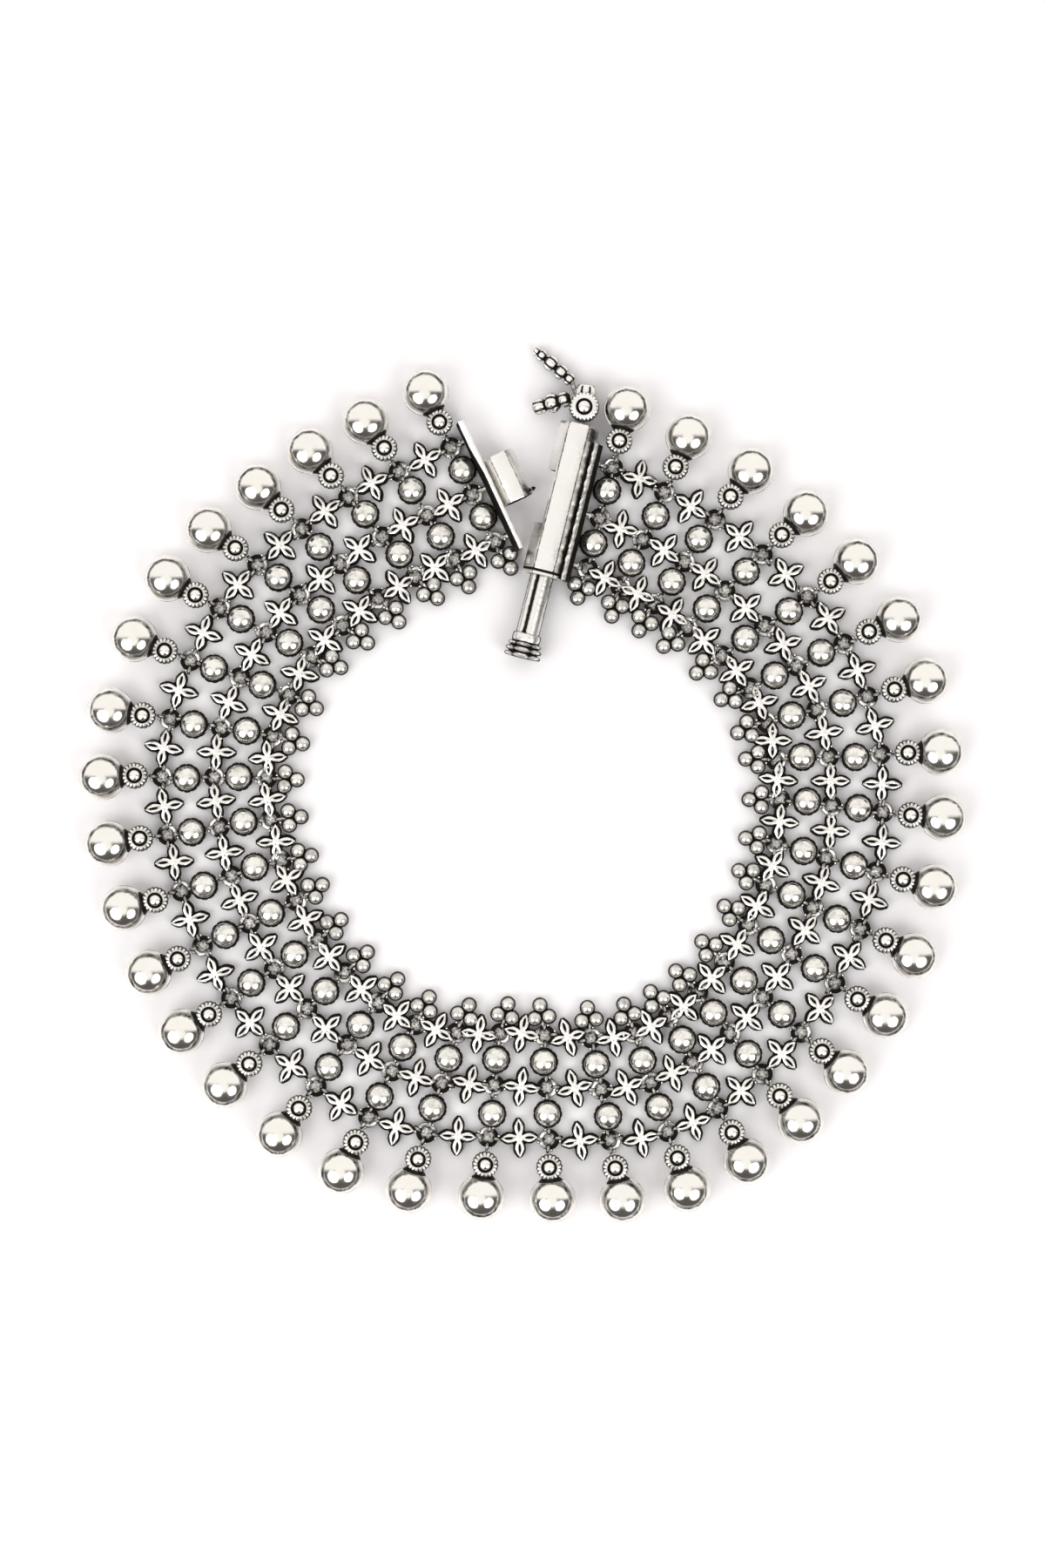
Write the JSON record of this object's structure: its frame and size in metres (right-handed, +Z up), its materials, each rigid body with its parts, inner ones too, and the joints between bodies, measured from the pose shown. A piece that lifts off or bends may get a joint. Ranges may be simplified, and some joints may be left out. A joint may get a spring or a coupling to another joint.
{
  "type": "payal anklet",
  "caption": "Flexible silver payal anklet laid in an open ring: flower-link chains with domed beads, a fringe of ghungroo bells, and a tube clasp with a sliding pin.",
  "frame": {"origin": "middle of the footprint, on the surface that the anklet lies on", "axes": "+Z up; +Y from the middle of the loop towards the clasp; the band lies in the XY plane"},
  "size_m": [0.1237, 0.1225, 0.0062],
  "materials": {
    "polished_silver": "polished silver, slightly worn, with dark crevices",
    "oxidised_silver": "oxidised silver, bright on its high points and near black in its hollows"
  },
  "bodies": {
    "band": {"bell_01": "polished_silver", "bell_02": "polished_silver", "bell_03": "polished_silver", "bell_04": "polished_silver", "bell_05": "polished_silver", "bell_06": "polished_silver", "bell_07": "polished_silver", "bell_08": "polished_silver", "bell_09": "polished_silver", "bell_10": "polished_silver", "bell_11": "polished_silver", "bell_12": "polished_silver", "bell_13": "polished_silver", "bell_14": "polished_silver", "bell_15": "polished_silver", "bell_16": "polished_silver", "bell_17": "polished_silver", "bell_18": "polished_silver", "bell_19": "polished_silver", "bell_20": "polished_silver", "bell_21": "polished_silver", "bell_22": "polished_silver", "bell_23": "polished_silver", "bell_24": "polished_silver", "bell_25": "polished_silver", "bell_26": "polished_silver", "bell_27": "polished_silver", "bell_28": "polished_silver", "bell_29": "polished_silver", "bell_30": "polished_silver", "bell_31": "polished_silver", "bell_32": "polished_silver", "bell_33": "polished_silver", "bell_34": "polished_silver", "bell_35": "polished_silver", "bell_36": "polished_silver", "clasp_knuckle": "polished_silver", "clasp_tube": "polished_silver", "outer_chain": "oxidised_silver", "middle_chain": "oxidised_silver", "inner_chain": "oxidised_silver", "drop_rosette": "oxidised_silver", "long_drop": "oxidised_silver", "short_drop": "oxidised_silver"},
    "pin": {"clasp_pin": "polished_silver"}
  },
  "joints": [
    {"name": "pin_slide", "type": "slide", "parent": "band", "child": "pin", "axis": [-0.2419, -0.9703, 0], "range_m": [-0.008, 0.0067]}
  ]
}
